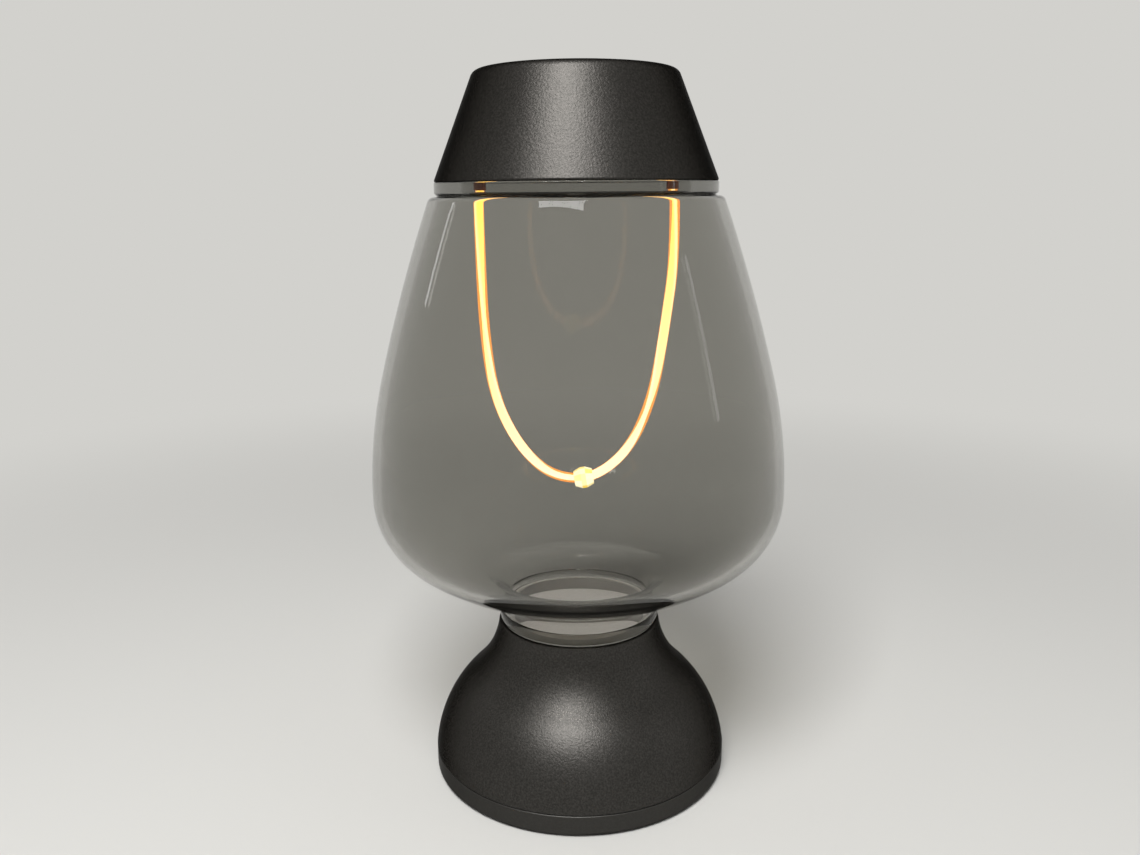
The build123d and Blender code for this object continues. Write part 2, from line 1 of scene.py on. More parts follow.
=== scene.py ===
import math
import bpy
import numpy as np
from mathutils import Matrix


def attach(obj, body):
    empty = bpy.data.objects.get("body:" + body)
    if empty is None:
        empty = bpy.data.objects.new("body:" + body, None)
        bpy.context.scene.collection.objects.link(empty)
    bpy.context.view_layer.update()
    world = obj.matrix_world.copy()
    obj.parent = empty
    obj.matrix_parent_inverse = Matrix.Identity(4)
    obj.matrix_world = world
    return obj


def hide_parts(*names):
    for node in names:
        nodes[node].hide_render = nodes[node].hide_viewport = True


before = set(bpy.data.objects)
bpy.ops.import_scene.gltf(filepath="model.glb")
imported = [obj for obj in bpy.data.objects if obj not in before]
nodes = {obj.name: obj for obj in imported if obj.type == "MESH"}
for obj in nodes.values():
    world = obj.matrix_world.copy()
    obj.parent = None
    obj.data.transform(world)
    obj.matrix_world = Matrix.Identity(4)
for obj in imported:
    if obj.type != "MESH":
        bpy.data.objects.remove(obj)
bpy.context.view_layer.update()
mm, micron = 0.001, 1e-6  # in metres
print("frame loaded,", len(nodes), "nodes")


# sRGB hex text to linear red, green, blue, alpha
def linearColour(code):
    srgb = np.array([int(code[i:i + 2], 16) for i in (1, 3, 5)]) / 255
    linear = np.where(srgb <= 0.04045, srgb / 12.92, ((srgb + 0.055) / 1.055) ** 2.4)
    return (*linear.tolist(), 1.0)


# one node with its settings and its incoming links; the stops of a colour ramp are places and colours
def addNode(tree, kind, settings=None, links=None):
    node = tree.nodes.new(kind)
    for name, value in (settings or {}).items():
        if name == "stops":
            for element, (position, colour) in zip(node.color_ramp.elements, value):
                element.position, element.color = position, linearColour(colour)
        elif isinstance(name, int) or name in node.inputs:
            node.inputs[name].default_value = value
        else:
            setattr(node, name, value)
    for name, socket in (links or {}).items():
        tree.links.new(socket, node.inputs[name])
    return node


# a material with its node tree cleared
def emptyMaterial(name):
    material = bpy.data.materials.new(name)
    material.use_nodes = True
    material.node_tree.nodes.clear()
    return material, material.node_tree


# Mesh object at the origin from grids of points, with a material slot for each grid. Four neighbours in a
# grid make a face, and wrap says which way the grids close on themselves.
def gridObject(name, grids, wrapRows, wrapColumns):
    quads, slots, before = [], [], 0
    for slot, grid in enumerate(grids):
        rows, columns = grid.shape[:2]
        index = np.arange(rows * columns).reshape(rows, columns) + before
        before += rows * columns
        if wrapRows:
            index = np.vstack([index, index[:1]])
        if wrapColumns:
            index = np.hstack([index, index[:, :1]])
        corners = [index[:-1, :-1], index[1:, :-1], index[1:, 1:], index[:-1, 1:]]
        quads.append(np.stack([c.ravel() for c in corners], axis=1))
        slots.append(np.full(len(quads[-1]), slot))
    mesh = bpy.data.meshes.new(name)
    mesh.from_pydata(np.vstack([g.reshape(-1, 3) for g in grids]).tolist(), [], np.vstack(quads).tolist())
    mesh.polygons.foreach_set("material_index", np.concatenate(slots).astype(np.int32))
    mesh.update()
    made = bpy.data.objects.new(name, mesh)
    bpy.context.scene.collection.objects.link(made)
    return made


# Camera: a level table seen from a little above, the axis just right of the picture's middle
camera = {
    "pictureWide": 1140,
    "focalPixels": 998.1,
    "sensorWide": 36.0,
    "place": (-1.45 * mm, -237.6 * mm, 144.1 * mm),
    "pitch": 13.325,
    "roll": 0.45,
    "clipStart": 0.01,
}
cameraData = bpy.data.cameras.new("camera")
cameraData.sensor_width = camera["sensorWide"]
cameraData.lens = camera["focalPixels"] * camera["sensorWide"] / camera["pictureWide"]
cameraData.clip_start = camera["clipStart"]
cameraObject = bpy.data.objects.new("camera", cameraData)
cameraObject.location = camera["place"]
cameraObject.rotation_euler = (math.radians(90 - camera["pitch"]), math.radians(camera["roll"]), 0)
bpy.context.scene.collection.objects.link(cameraObject)
bpy.context.scene.camera = cameraObject
print("camera set, lens", round(cameraData.lens, 2))


# Soft filaments that hang from the cap and meet in the bead: a flat lit core, twisted as it hangs, in a
# round sleeve of amber silicone. The route points are the solid's own, in millimetres.
filament = {
    "left": [(-22.8, 0, 146.6), (-22.7, 0, 128.2), (-22.1, 0, 110.2), (-20.0, 0, 94.7),
             (-13.7, 0, 82.1), (-5.1, 0, 74.7), (1.104, 0, 75.153)],
    "right": [(22.8, 0, 146.6), (23.3, 0, 130.2), (21.0, 0, 112.2), (18.4, 0, 95.7),
              (13.1, 0, 82.9), (5.4, 0, 75.9), (1.696, 0, 75.247)],
    "sleeve": 2.4 * mm,
    "wide": 2.15 * mm,
    "thick": 1.15 * mm,
    # share of the length from the cap, and the strip's turn there in degrees
    "twistLeft": [(0, -20), (0.085, -35), (0.355, -90), (0.745, -180), (0.91, -262), (1, -275)],
    "twistRight": [(0, -75), (0.08, -90), (0.46, -180), (0.73, -270), (0.93, -355), (1, -365)],
    "around": 32,
    "square": 0.7,
    "curveOrder": 3, "curveSteps": 16,
    "endSize": 0.02,
    # yellow at the cap, its least value, and how much of it the narrow sides lose
    "yellow": 1.05, "yellowLeast": 0.15, "sideLoss": 0.5, "sidePower": 4,
}


# points along the route's own smooth spline, in metres
def splinePoints(name, route):
    curve = bpy.data.curves.new(name, "CURVE")
    curve.dimensions = "3D"
    curve.resolution_u = filament["curveSteps"]
    spline = curve.splines.new("NURBS")
    spline.points.add(len(route) - 1)
    spline.points.foreach_set("co", np.hstack([np.array(route) * mm, np.ones((len(route), 1))]).ravel())
    spline.order_u = filament["curveOrder"]
    spline.use_endpoint_u = True
    holder = bpy.data.objects.new(name, curve)
    line = bpy.data.meshes.new_from_object(holder)
    points = np.zeros(len(line.vertices) * 3)
    line.vertices.foreach_get("co", points)
    bpy.data.objects.remove(holder)
    bpy.data.curves.remove(curve)
    bpy.data.meshes.remove(line)
    return points.reshape(-1, 3)


# A strand is its two sections carried along the line, square to it. The core's section is a rounded oblong:
# width times the cosine and thickness times the sine of the angle, each raised to a power below one, and it
# is turned by the twist. The sleeve's section is a circle. The core's yellow falls off with the share of the
# length and, by a power of the cosine, towards its narrow sides.
def filamentStrand(name, line, twist):
    along = np.gradient(line, axis=0)
    along /= np.linalg.norm(along, axis=1, keepdims=True)
    depth = np.tile([0.0, 1.0, 0.0], (len(line), 1))
    across = np.cross(depth, along)
    share = np.concatenate([[0], np.cumsum(np.linalg.norm(np.diff(line, axis=0), axis=1))])
    share /= share[-1]
    turn = np.radians(np.interp(share, *np.transpose(twist)))[:, None]
    wideAxis = across * np.cos(turn) + depth * np.sin(turn)
    thickAxis = depth * np.cos(turn) - across * np.sin(turn)
    angle = np.linspace(0, 2 * np.pi, filament["around"], endpoint=False)
    power = filament["square"]
    flat = np.sign(np.cos(angle)) * np.abs(np.cos(angle)) ** power * filament["wide"] / 2
    deep = np.sign(np.sin(angle)) * np.abs(np.sin(angle)) ** power * filament["thick"] / 2
    # the first and last rings close to a point, so the ends are capped
    size = np.ones((len(line) + 2, 1, 1))
    size[[0, -1]] = filament["endSize"]
    grow = np.concatenate([[0], np.arange(len(line)), [len(line) - 1]])
    centre, wideAxis, thickAxis = line[grow][:, None], wideAxis[grow][:, None], thickAxis[grow][:, None]
    core = centre + (wideAxis * flat[:, None] + thickAxis * deep[:, None]) * size
    sleeveRadius = filament["sleeve"] / 2 * size
    sleeve = centre + (wideAxis * np.cos(angle)[:, None] + thickAxis * np.sin(angle)[:, None]) * sleeveRadius
    strand = gridObject(name, [core, sleeve], False, True)
    fall = np.clip(filament["yellow"] - share[grow], filament["yellowLeast"], 1)[:, None]
    yellow = (fall * (1 - filament["sideLoss"] * np.abs(np.cos(angle)) ** filament["sidePower"])).ravel()
    attribute = strand.data.attributes.new("glow", "FLOAT", "POINT")
    attribute.data.foreach_set("value", np.concatenate([yellow, 0 * yellow]).astype(np.float32))
    strand.data.shade_smooth()
    return strand


lines = {side: splinePoints("route" + side, filament[side]) for side in ("left", "right")}
leftStrip = filamentStrand("filamentStripLeft", lines["left"], filament["twistLeft"])
rightStrip = filamentStrand("filamentStripRight", lines["right"], filament["twistRight"])


# sum of the distances between neighbouring points
def lineLength(line):
    return float(np.linalg.norm(np.diff(line, axis=0), axis=1).sum())


print("filaments", [round(lineLength(lines[side]) / mm, 1) for side in lines], "mm")
for strip, side in ((leftStrip, "left"), (rightStrip, "right")):
    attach(strip, "cap")
    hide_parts("filament_" + side)


# Blown globe, one even wall turned about the upright axis, sizes in millimetres.
# A lean is in degrees outwards from straight down.
globe = {
    "shoulder": (34.0, 142.8), "shoulderLean": 20, "shoulderRatio": 1.5,
    "belly": (50.0, 73.2),
    "funnelLean": -73, "funnelRatio": 1.08,
    "neckRadius": 19.5, "neckHeight": 42.1, "neckFillet": 6.5,
    "lipBottom": 39.3, "lipBulge": 0.5, "lipSteps": 17,
    "wall": 2.0,
    "mouthBore": 26.5, "mouthTop": 150.2, "seat": 146.2,
    "ringRadius": 32.75, "ringBottom": 143.45, "groove": (31.9, 143.2),
    "rimRounds": (1.5, 0.8, 0.8, 0.6, 0.25, 0.75, 0.02, 1.7), "shoulderRow": 2,
    "around": 224, "arcSteps": 26, "cornerSteps": 9, "runShares": (0.05, 0.3, 0.7, 0.95),
    "sharpAngle": 40,
}


# unit vectors down along a leaning wall and square to it, from the sine and cosine of the lean
def downward(lean):
    return np.array([math.sin(math.radians(lean)), -math.cos(math.radians(lean))])


def outward(lean):
    return np.array([math.cos(math.radians(lean)), math.sin(math.radians(lean))])


# An arc that leaves start in a given direction and reaches end: its radius is the chord squared over
# twice the chord's part square to that direction, and it turns by twice the angle between the two.
def arcPoints(start, direction, end, steps):
    chord = end - start
    side = np.array([-direction[1], direction[0]])
    turn = 2 * math.atan2(chord @ side, chord @ direction)
    radius = (chord @ chord) / (2 * (chord @ side))
    angle = np.linspace(0, turn, steps)[:, None]
    return start + radius * (np.sin(angle) * direction + (1 - np.cos(angle)) * side)


# Two arcs that share a tangent: tangent lengths in the given ratio are laid off from both ends, and the
# line that joins them touches both arcs where it is divided in that ratio. An inset moves all inwards.
def twoArcs(start, startLean, end, endLean, ratio, inset, steps):
    start, end = np.array(start, float), np.array(end, float)
    leave, arrive = downward(startLean), downward(endLean)
    span = end - start
    mixed = leave * ratio + arrive
    along = span @ mixed
    slack = (1 + ratio) ** 2 - mixed @ mixed
    reach = (span @ span) / (along + math.sqrt(along ** 2 + (span @ span) * slack))
    near, far = start + leave * ratio * reach, end - arrive * reach
    middle = near + (far - near) * ratio / (1 + ratio)
    through = (far - near) / np.linalg.norm(far - near)
    start, end = start - outward(startLean) * inset, end - outward(endLean) * inset
    middle = middle - np.array([-through[1], through[0]]) * inset
    return np.vstack([arcPoints(start, leave, middle, steps)[:-1], arcPoints(middle, through, end, steps)])


# Corners of a line of points, each rounded by an arc that touches both of its runs. The runs get points of
# their own too, near the arcs, so that smooth shading doesn't bend what is seen through the flat glass.
def roundedLine(points, rounds, steps):
    points = [np.array(p, float) for p in points]
    shares = np.array(globe["runShares"])[:, None]
    made = [points[0][None]]
    for before, corner, after, size in zip(points, points[1:], points[2:], rounds):
        arrive = (corner - before) / np.linalg.norm(corner - before)
        leave = (after - corner) / np.linalg.norm(after - corner)
        half = math.acos(max(-1, min(1, arrive @ leave))) / 2
        cut = size * math.tan(half)
        arc = arcPoints(corner - arrive * cut, arrive, corner + leave * cut, steps)
        made += [made[-1][-1] + (arc[0] - made[-1][-1]) * shares, arc]
    return np.vstack([*made, points[-1][None]])


# One side of the wall from shoulder to neck: two arcs to the belly, two to the funnel's end, and the fillet
# into the neck. The funnel ends a fillet's sine above the neck and its versed sine outside it.
def globeSide(inset):
    lean = math.radians(globe["funnelLean"])
    fillet = globe["neckFillet"]
    funnelEnd = np.array([globe["neckRadius"] + fillet * (1 - math.cos(lean)),
                          globe["neckHeight"] - fillet * math.sin(lean)])
    steps = globe["arcSteps"]
    upper = twoArcs(globe["shoulder"], globe["shoulderLean"], globe["belly"], 0, globe["shoulderRatio"],
                    inset, steps)
    lower = twoArcs(globe["belly"], 0, funnelEnd, globe["funnelLean"], globe["funnelRatio"], inset, steps)
    neck = arcPoints(lower[-1], downward(globe["funnelLean"]),
                     np.array([globe["neckRadius"] - inset, globe["neckHeight"]]), steps)
    return np.vstack([upper[:-1], lower[:-1], neck])


# half an ellipse that swells outwards by bulge between two points, its ends left out
def swelling(start, end, bulge, steps):
    turn = np.linspace(0, np.pi, steps)[1:-1, None]
    height = (1 - np.cos(turn)) / 2
    return start + (end - start) * height + np.hstack([np.sin(turn) * bulge, 0 * height])


# The whole section, closed: down the outside, round the lip, up the inside, and over the mouth and the ring
def globeProfile():
    outer, inner = globeSide(0), globeSide(globe["wall"])[::-1]
    bore, collar = globe["mouthBore"], globe["mouthBore"] + globe["wall"]
    rim = roundedLine(
        [inner[-1], (bore, inner[-1][1]), (bore, globe["mouthTop"]), (collar, globe["mouthTop"]),
         (collar, globe["seat"]), (globe["ringRadius"], globe["seat"]),
         (globe["ringRadius"], globe["ringBottom"]), globe["groove"], outer[0], outer[globe["shoulderRow"]]],
        globe["rimRounds"], globe["cornerSteps"])
    lipTop, lipEnd = outer[-1], np.array([globe["neckRadius"], globe["lipBottom"]])
    lip = swelling(lipTop, lipEnd, globe["lipBulge"], globe["lipSteps"])
    foot = np.array([lipEnd, (inner[0][0], globe["lipBottom"])])
    return np.vstack([outer[globe["shoulderRow"]:], lip, foot, inner, rim[1:-1]])


# The profile turned about Z: radius times cosine, radius times sine, height
def turnedSurface(name, profile, around):
    angle = np.linspace(0, 2 * np.pi, around, endpoint=False)
    radius, height = profile[:, :1] * mm, profile[:, 1:] * mm
    points = np.stack([radius * np.cos(angle), radius * np.sin(angle), height + 0 * angle], axis=2)
    return gridObject(name, [points], True, True)


blownGlobe = turnedSurface("blownGlobe", globeProfile(), globe["around"])
blownGlobe.data.shade_smooth()
blownGlobe.data.set_sharp_from_angle(angle=math.radians(globe["sharpAngle"]))
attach(blownGlobe, "base")
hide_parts("globe")
print("globe turned,", len(blownGlobe.data.polygons), "faces")


# Finishes of the moulded, cast, drawn and bought-in pieces. Grain is the size of the surface's texture in
# millimetres, and bump the depth of it in micrometres. Edge is the tint of the shine at a flat angle.
finishes = {
    # moulded, then sprayed with charcoal paint full of fine metal flake, so it shines as a dark metal does:
    # a broad grainy highlight, and edges that stay dark. The grain is coarser than real flake, so it shows.
    "sprayedCharcoalAbs": {"dark": "#333230", "pale": "#42403e", "rough": 0.39, "spread": 0.05,
                           "grain": 0.44, "bump": 100, "metal": 1.0, "edge": "#7c7c7c",
                           "nodes": ["cap_shell"]},
    # the same paint in one thinner coat, so the band is a shade flatter and paler than the dome
    "sprayedBandAbs": {"dark": "#403f3d", "pale": "#464543", "rough": 0.42, "spread": 0.05,
                       "grain": 0.5, "bump": 20, "metal": 1.0, "edge": "#b4b4b4", "nodes": ["base_pan"]},
    # moulded and sprayed with a soft lacquer: broad dull highlight, no flake
    "softTouchButtonAbs": {"dark": "#0f0e0d", "pale": "#262421", "rough": 0.5, "spread": 0.05,
                           "grain": 0.4, "bump": 5, "metal": 0.0, "nodes": ["push_button"]},
    # moulded in a spark-eroded tool and left bare: even fine grain, dull
    "mouldedBlackAbs": {"dark": "#0c0c0c", "pale": "#1a1a1a", "rough": 0.5, "spread": 0.08,
                        "grain": 0.6, "bump": 6, "metal": 0.0,
                        "nodes": ["cap_floor", "driver_chip", "usb_tongue", "switch_body"]},
    # moulded in a polished tool: pale grey, with faint flow marks and a soft gloss
    "mouldedPaleAbs": {"dark": "#d0cecf", "pale": "#dbd9da", "rough": 0.38, "spread": 0.05,
                       "grain": 1.2, "bump": 4, "metal": 0.0, "nodes": ["neck_disc", "switch_plunger"]},
    # pressed silicone rubber: dull, takes up dust, so slightly uneven
    "pressedSilicone": {"dark": "#141414", "pale": "#242424", "rough": 0.6, "spread": 0.1,
                        "grain": 0.8, "bump": 10, "metal": 0.0, "nodes": ["foot_ring", "cap_gasket"]},
    # unfilled silicone bonded under the glass lip: milky, smooth where it meets the glass
    "clearSilicone": {"dark": "#b9b8b3", "pale": "#d2d1cc", "rough": 0.35, "spread": 0.08,
                      "grain": 0.8, "bump": 6, "metal": 0.0, "nodes": ["neck_seal"]},
    # cast in sand and left raw: coarse grain, no clear highlight
    "sandCastIron": {"dark": "#3f3d3b", "pale": "#5c5a57", "rough": 0.6, "spread": 0.15,
                     "grain": 0.7, "bump": 30, "metal": 1.0, "nodes": ["ballast"]},
    # cold headed and zinc plated in a barrel: bright, with the mottle of the tumbling
    "zincPlatedSteel": {"dark": "#a5a49f", "pale": "#c3c1bb", "rough": 0.3, "spread": 0.1,
                        "grain": 0.3, "bump": 3, "metal": 1.0,
                        "nodes": ["ballast_screw", "base_screws", "cap_screws", "board_screws"]},
    # drawn from thin strip and nickel plated: smooth and bright, hardly any grain
    "drawnSocketSteel": {"dark": "#b4b4b2", "pale": "#cfcfcc", "rough": 0.24, "spread": 0.08,
                         "grain": 0.3, "bump": 2, "metal": 1.0, "nodes": ["usb_shell"]},
    # laminated foil drawn over the cell: soft metal sheen with shallow puckers
    "pouchFoil": {"dark": "#9fa1a3", "pale": "#c4c6c8", "rough": 0.34, "spread": 0.12,
                  "grain": 2.5, "bump": 40, "metal": 0.9, "nodes": ["battery"]},
    # cut from foamed sheet: open pores at the cut, no highlight
    "closedCellFoam": {"dark": "#1e1f20", "pale": "#323334", "rough": 0.9, "spread": 0.05,
                       "grain": 0.5, "bump": 60, "metal": 0.0, "nodes": ["battery_pad"]},
    # lacquer over glass cloth: the weave shows as a faint unevenness under the gloss
    "solderMask": {"dark": "#0f3d22", "pale": "#1c5a33", "rough": 0.3, "spread": 0.08,
                   "grain": 1.0, "bump": 5, "metal": 0.0, "nodes": ["board"]},
    # pressed from powder and fired: stone-like, dull
    "pressedFerrite": {"dark": "#232324", "pale": "#37373a", "rough": 0.7, "spread": 0.1,
                       "grain": 0.3, "bump": 12, "metal": 0.0, "nodes": ["boost_coil"]},
    # cut from drawn tube and crimped: warm metal, a little dulled by handling
    "drawnCopper": {"dark": "#a3532f", "pale": "#c97a4e", "rough": 0.3, "spread": 0.1,
                    "grain": 0.4, "bump": 4, "metal": 1.0, "nodes": ["filament_ends"]},
    # silicone drawn over wire: smooth along its run, soft highlight
    "redLeadSilicone": {"dark": "#8a1410", "pale": "#a52019", "rough": 0.45, "spread": 0.08,
                        "grain": 0.6, "bump": 4, "metal": 0.0, "nodes": ["lead_left", "battery_leads"]},
    # the same sleeve in black
    "blackLeadSilicone": {"dark": "#101010", "pale": "#1e1e1e", "rough": 0.45, "spread": 0.08,
                          "grain": 0.6, "bump": 4, "metal": 0.0, "nodes": ["lead_right"]},
}


# The same paint on the base, masked where the glass neck goes over it: the spigot is left unpainted, in the
# pale plastic of the moulding, and is pale enough that the glass lip over it shows painted light. The well
# inside it darkens towards the axis as painted shade. The radii are in millimetres.
finishes["sprayedMaskedAbs"] = {
    # the base's copy is paler than the cap's, its edge tint too, so that its highlight comes out brighter: a
    # painted highlight
    **finishes["sprayedCharcoalAbs"], "dark": "#383735", "pale": "#494745", "edge": "#909090",
    "wellShadeRadius": 15.5, "bareRadius": 17.6, "wellShadeDark": "#72706d", "bareAndPaintedLight": "#dcdad7",
    "nodes": ["base_shell"],
}
# what all the grains share: the noise's detail and roughness, where the two tones lie, the bump's strength
grainNoise = {"detail": 3.0, "rough": 0.6, "darkAt": 0.36, "paleAt": 0.7, "strength": 0.6}


# A body colour that varies with the grain, the same grain in roughness and as a shallow bump. Inside the
# uncovered radius the distance from the upright axis chooses the pale plastic, which lights the glass lip as
# painted light, darkened towards the axis as painted shade, and there is no flake.
def grainFinish(name, look):
    material, tree = emptyMaterial(name)
    place = addNode(tree, "ShaderNodeTexCoord")
    noise = addNode(tree, "ShaderNodeTexNoise",
                    {"Scale": 1 / (look["grain"] * mm), "Detail": grainNoise["detail"],
                     "Roughness": grainNoise["rough"]},
                    {"Vector": place.outputs["Object"]})
    tones = addNode(tree, "ShaderNodeValToRGB",
                    {"stops": ((grainNoise["darkAt"], look["dark"]), (grainNoise["paleAt"], look["pale"]))},
                    {"Fac": noise.outputs["Fac"]})
    links = {"Base Color": tones.outputs["Color"]}
    if "bareRadius" in look:
        level = addNode(tree, "ShaderNodeVectorMath", {"operation": "MULTIPLY", 1: (1, 1, 0)},
                        {0: place.outputs["Object"]})
        radius = addNode(tree, "ShaderNodeVectorMath", {"operation": "LENGTH"}, {0: level.outputs["Vector"]})
        inner = addNode(tree, "ShaderNodeMath", {"operation": "LESS_THAN", 1: look["bareRadius"] * mm},
                        {0: radius.outputs["Value"]})
        # painted shade: from the uncovered radius in to the shade radius the well turns from pale plastic to
        # dark grey
        wellShade = addNode(tree, "ShaderNodeMapRange",
                        {"From Min": look["wellShadeRadius"] * mm, "From Max": look["bareRadius"] * mm},
                        {"Value": radius.outputs["Value"]})
        bareWithShade = addNode(tree, "ShaderNodeValToRGB", {"stops": ((0, look["wellShadeDark"]), (1, look["bareAndPaintedLight"]))},
                       {"Fac": wellShade.outputs["Result"]})
        mixed = addNode(tree, "ShaderNodeMixRGB", None,
                        {"Fac": inner.outputs["Value"], "Color1": tones.outputs["Color"],
                         "Color2": bareWithShade.outputs["Color"]})
        flake = addNode(tree, "ShaderNodeMath",
                        {"operation": "MULTIPLY_ADD", 1: -look["metal"], 2: look["metal"]},
                        {0: inner.outputs["Value"]})
        links = {"Base Color": mixed.outputs["Color"], "Metallic": flake.outputs["Value"]}
    rough = addNode(tree, "ShaderNodeMapRange",
                    {"To Min": look["rough"] - look["spread"], "To Max": look["rough"] + look["spread"]},
                    {"Value": noise.outputs["Fac"]})
    bump = addNode(tree, "ShaderNodeBump",
                   {"Strength": grainNoise["strength"], "Distance": look["bump"] * micron},
                   {"Height": noise.outputs["Fac"]})
    shader = addNode(tree, "ShaderNodeBsdfPrincipled",
                     {"Metallic": look["metal"], "Specular Tint": linearColour(look.get("edge", "#ffffff"))},
                     {**links, "Roughness": rough.outputs["Result"], "Normal": bump.outputs["Normal"]})
    addNode(tree, "ShaderNodeOutputMaterial", None, {"Surface": shader.outputs["BSDF"]})
    return material


# gives a piece these materials alone
def dress(piece, *materials):
    if piece.data.materials:
        piece.data.materials.clear()
    for material in materials:
        piece.data.materials.append(material)


for name, look in finishes.items():
    material = grainFinish(name, look)
    for node in look["nodes"]:
        dress(nodes[node], material)
print("finishes made,", len(finishes))

# Smoked glass, blown in a mould and plated with a thin smoke coat: clear gloss with a faint waviness,
# the same grey through the thin wall and the thick rim, a little deeper where the glass is thick. The coat
# weakens the mirror images to the share given. The wave is in millimetres, its depth in micrometres.
smokedGlass = {
    "ior": 1.5, "rough": 0.0, "mirror": 0.28, "coat": "#cccbc7",
    "density": 60.0, "tint": "#636358",
    "wave": 22.0, "waveDepth": 40, "waveDetail": 1.0, "waveStrength": 0.3,
}
material, tree = emptyMaterial("smokePlatedBlownGlass")
place = addNode(tree, "ShaderNodeTexCoord")
wave = addNode(tree, "ShaderNodeTexNoise",
               {"Scale": 1 / (smokedGlass["wave"] * mm), "Detail": smokedGlass["waveDetail"]},
               {"Vector": place.outputs["Object"]})
bump = addNode(tree, "ShaderNodeBump",
               {"Strength": smokedGlass["waveStrength"], "Distance": smokedGlass["waveDepth"] * micron},
               {"Height": wave.outputs["Fac"]})
shader = addNode(tree, "ShaderNodeBsdfPrincipled",
                 {"Base Color": linearColour(smokedGlass["coat"]), "Roughness": smokedGlass["rough"],
                  "IOR": smokedGlass["ior"], "Transmission Weight": 1.0,
                  "Specular Tint": (*[smokedGlass["mirror"]] * 3, 1.0)},
                 {"Normal": bump.outputs["Normal"]})
inside = addNode(tree, "ShaderNodeVolumeAbsorption",
                 {"Color": linearColour(smokedGlass["tint"]), "Density": smokedGlass["density"]})
# light from the lamps passes the wall without bending, so that no dark shadow fills the globe
ray = addNode(tree, "ShaderNodeLightPath")
through = addNode(tree, "ShaderNodeBsdfTransparent", {"Color": linearColour(smokedGlass["coat"])})
lampsPass = addNode(tree, "ShaderNodeMixShader", None,
                    {0: ray.outputs["Is Shadow Ray"], 1: shader.outputs["BSDF"], 2: through.outputs["BSDF"]})
addNode(tree, "ShaderNodeOutputMaterial", None,
        {"Surface": lampsPass.outputs["Shader"], "Volume": inside.outputs["Volume"]})
dress(blownGlobe, material)

# Lit phosphor core, silicone moulded round a row of small light chips: almost white where the light comes
# straight through, yellow where more phosphor lies over it
litCore = {"white": "#fffcea", "yellow": "#ffe86a", "body": "#d8a040", "rough": 0.45, "strength": 2.8}
core, tree = emptyMaterial("litPhosphorSilicone")
depth = addNode(tree, "ShaderNodeAttribute", {"attribute_name": "glow"})
glow = addNode(tree, "ShaderNodeValToRGB", {"stops": ((0, litCore["white"]), (1, litCore["yellow"]))},
               {"Fac": depth.outputs["Fac"]})
shader = addNode(tree, "ShaderNodeBsdfPrincipled",
                 {"Base Color": linearColour(litCore["body"]), "Roughness": litCore["rough"],
                  "Emission Strength": litCore["strength"]},
                 {"Emission Color": glow.outputs["Color"]})
addNode(tree, "ShaderNodeOutputMaterial", None, {"Surface": shader.outputs["BSDF"]})

# Amber silicone sleeve, drawn over the core: see-through to two thirds, glowing orange with the light it
# takes up, a little cloudy along its run. The clouds are in millimetres.
amberSleeve = {
    "body": "#d08a20", "rough": 0.35, "cover": 0.34,
    "deep": "#ff8e0a", "clear": "#ffa824", "strength": 2.3,
    "cloud": 3.0, "cloudDetail": 2.0,
}
sleeve, tree = emptyMaterial("drawnAmberSilicone")
place = addNode(tree, "ShaderNodeTexCoord")
cloud = addNode(tree, "ShaderNodeTexNoise",
                {"Scale": 1 / (amberSleeve["cloud"] * mm), "Detail": amberSleeve["cloudDetail"]},
                {"Vector": place.outputs["Object"]})
glow = addNode(tree, "ShaderNodeValToRGB", {"stops": ((0, amberSleeve["deep"]), (1, amberSleeve["clear"]))},
               {"Fac": cloud.outputs["Fac"]})
shader = addNode(tree, "ShaderNodeBsdfPrincipled",
                 {"Base Color": linearColour(amberSleeve["body"]), "Roughness": amberSleeve["rough"],
                  "Alpha": amberSleeve["cover"], "Emission Strength": amberSleeve["strength"]},
                 {"Emission Color": glow.outputs["Color"]})
addNode(tree, "ShaderNodeOutputMaterial", None, {"Surface": shader.outputs["BSDF"]})
dress(leftStrip, core, sleeve)
dress(rightStrip, core, sleeve)

# Cut glass bead over the lit joint: clear polished facets. The joint's light through the glass is painted on
# the bead as its glow, and each facet gets its own share of it as painted glints: the share is a noise of the
# way that the facet faces, so sparkle is its scale over directions.
cutBead = {
    "body": "#f4d080", "rough": 0.08, "gloss": 0.6,
    "shade": "#f2cc4a", "shadeAt": 0.4, "glow": "#fffad8", "glowAt": 0.58, "strength": 1.9,
    "sparkle": 2.6, "sparkleDetail": 2.0,
}
material, tree = emptyMaterial("litCutGlass")
facet = addNode(tree, "ShaderNodeNewGeometry")
share = addNode(tree, "ShaderNodeTexNoise", {"Scale": cutBead["sparkle"], "Detail": cutBead["sparkleDetail"]},
                {"Vector": facet.outputs["True Normal"]})
# painted glints: each facet's yellow, from deep to near white, by the way it faces
paintedGlints = addNode(tree, "ShaderNodeValToRGB",
               {"stops": ((cutBead["shadeAt"], cutBead["shade"]), (cutBead["glowAt"], cutBead["glow"]))},
               {"Fac": share.outputs["Fac"]})
shader = addNode(tree, "ShaderNodeBsdfPrincipled",
                 {"Base Color": linearColour(cutBead["body"]), "Roughness": cutBead["rough"],
                  "Coat Weight": cutBead["gloss"], "Emission Strength": cutBead["strength"]},
                 {"Emission Color": paintedGlints.outputs["Color"]})
addNode(tree, "ShaderNodeOutputMaterial", None, {"Surface": shader.outputs["BSDF"]})
dress(nodes["bead"], material)
print("glass and light made")

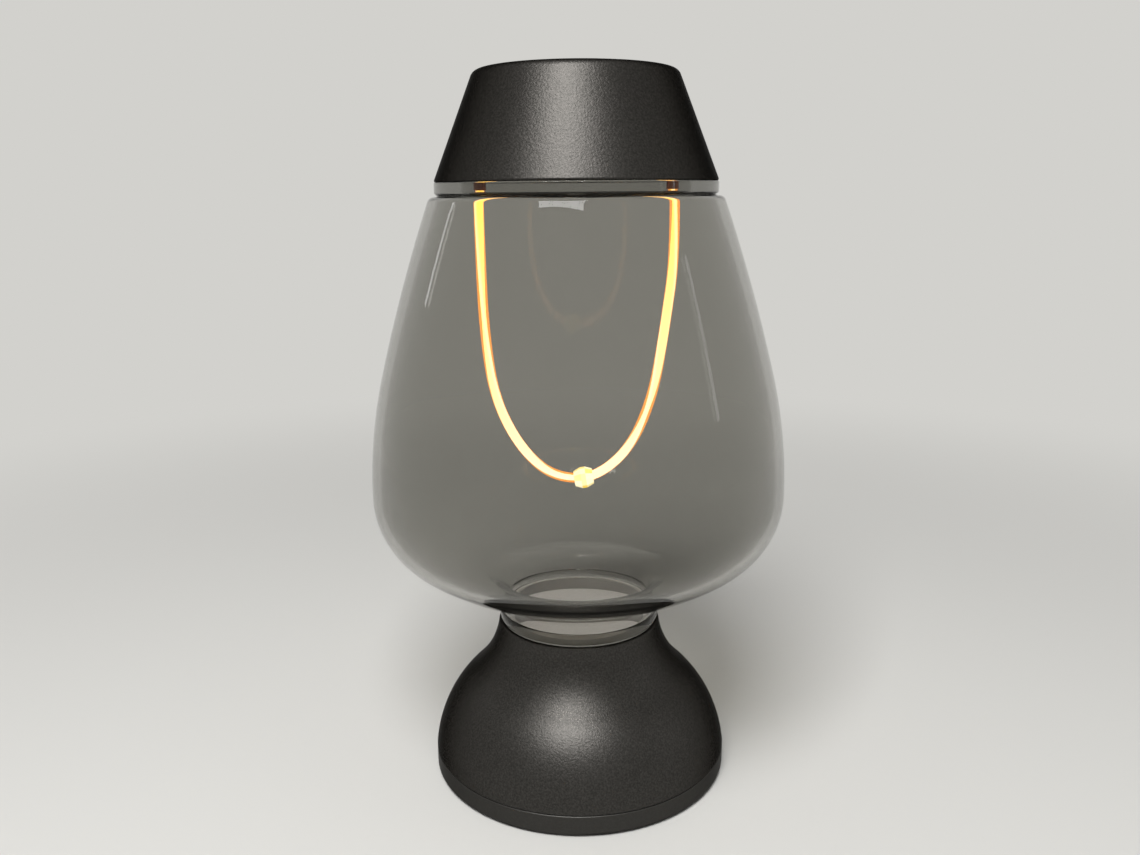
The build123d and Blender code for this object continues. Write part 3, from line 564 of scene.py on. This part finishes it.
# Studio: a pale floor that fades into pale surroundings, a soft lamp over the camera and two faint strips at
# the sides, in metres. The floor is pulp paper, pressed and uncoated: dull, with fibres in millimetres that
# stand up by micrometres.
studio = {
    "floorSide": 12.0, "floorColour": "#d6d5d1", "floorRough": 0.9,
    "fibre": 2.0, "fibreDepth": 20, "fibreStrength": 0.1,
    "backdrop": "#d2d1cd", "ambient": 0.25, "fadeFrom": 0.12, "fadeTo": 0.5,
    "lamps": {
        "key": {"from": (-0.11, -0.48, 0.74), "aim": (0, 0, 0.09), "size": (0.4, 0.32), "watts": 7.8},
        "left": {"from": (-0.62, 0.22, 0.34), "aim": (0, 0, 0.1), "size": (0.025, 0.2), "watts": 0.06},
        "right": {"from": (0.62, -0.12, 0.26), "aim": (0, 0, 0.1), "size": (0.025, 0.24), "watts": 0.06},
    },
}
# the floor's corners: plus and minus half its side, at no height
ends = np.array([-1, 1]) * studio["floorSide"] / 2
floor = gridObject("floor", [np.stack([*np.meshgrid(ends, ends), np.zeros((2, 2))], axis=2)], False, False)
material, tree = emptyMaterial("paperSweep")
place = addNode(tree, "ShaderNodeTexCoord")
fibre = addNode(tree, "ShaderNodeTexNoise", {"Scale": 1 / (studio["fibre"] * mm)},
                {"Vector": place.outputs["Object"]})
bump = addNode(tree, "ShaderNodeBump",
               {"Strength": studio["fibreStrength"], "Distance": studio["fibreDepth"] * micron},
               {"Height": fibre.outputs["Fac"]})
shader = addNode(tree, "ShaderNodeBsdfPrincipled",
                 {"Base Color": linearColour(studio["floorColour"]), "Roughness": studio["floorRough"]},
                 {"Normal": bump.outputs["Normal"]})
away = addNode(tree, "ShaderNodeVectorMath", {"operation": "LENGTH"}, {0: place.outputs["Object"]})
fade = addNode(tree, "ShaderNodeMapRange",
               {"From Min": studio["fadeFrom"], "From Max": studio["fadeTo"],
                "interpolation_type": "SMOOTHSTEP"},
               {"Value": away.outputs["Value"]})
pale = addNode(tree, "ShaderNodeEmission", {"Color": linearColour(studio["backdrop"])})
sweep = addNode(tree, "ShaderNodeMixShader", None,
                {0: fade.outputs["Result"], 1: shader.outputs["BSDF"], 2: pale.outputs["Emission"]})
addNode(tree, "ShaderNodeOutputMaterial", None, {"Surface": sweep.outputs["Shader"]})
dress(floor, material)

# a lamp looks along its own minus Z, so two angles turn that to its aim
for name, lamp in studio["lamps"].items():
    data = bpy.data.lights.new(name, "AREA")
    data.shape = "RECTANGLE"
    data.size, data.size_y = lamp["size"]
    data.energy = lamp["watts"]
    made = bpy.data.objects.new(name, data)
    made.location = lamp["from"]
    aim = np.array(lamp["from"]) - np.array(lamp["aim"])
    across = math.hypot(aim[0], aim[1])
    made.rotation_euler = (math.atan2(across, aim[2]), 0, math.atan2(aim[0], -aim[1]))
    bpy.context.scene.collection.objects.link(made)

# the room is the pale backdrop to the camera, in gloss and through glass, and a weak light to all else
world = bpy.data.worlds.new("paleRoom")
bpy.context.scene.world = world
world.use_nodes = True
tree = world.node_tree
tree.nodes.clear()
ray = addNode(tree, "ShaderNodeLightPath")
seen = addNode(tree, "ShaderNodeMath", {"operation": "MAXIMUM"},
               {0: ray.outputs["Is Camera Ray"], 1: ray.outputs["Is Glossy Ray"]})
seen = addNode(tree, "ShaderNodeMath", {"operation": "MAXIMUM"},
               {0: seen.outputs["Value"], 1: ray.outputs["Is Transmission Ray"]})
ambient = addNode(tree, "ShaderNodeBackground", {"Color": (1, 1, 1, 1), "Strength": studio["ambient"]})
backdrop = addNode(tree, "ShaderNodeBackground", {"Color": linearColour(studio["backdrop"]), "Strength": 1.0})
mix = addNode(tree, "ShaderNodeMixShader", None,
              {0: seen.outputs["Value"], 1: ambient.outputs["Background"], 2: backdrop.outputs["Background"]})
addNode(tree, "ShaderNodeOutputWorld", None, {"Surface": mix.outputs["Shader"]})
bpy.context.scene.view_settings.view_transform = "Standard"
print("studio lit")
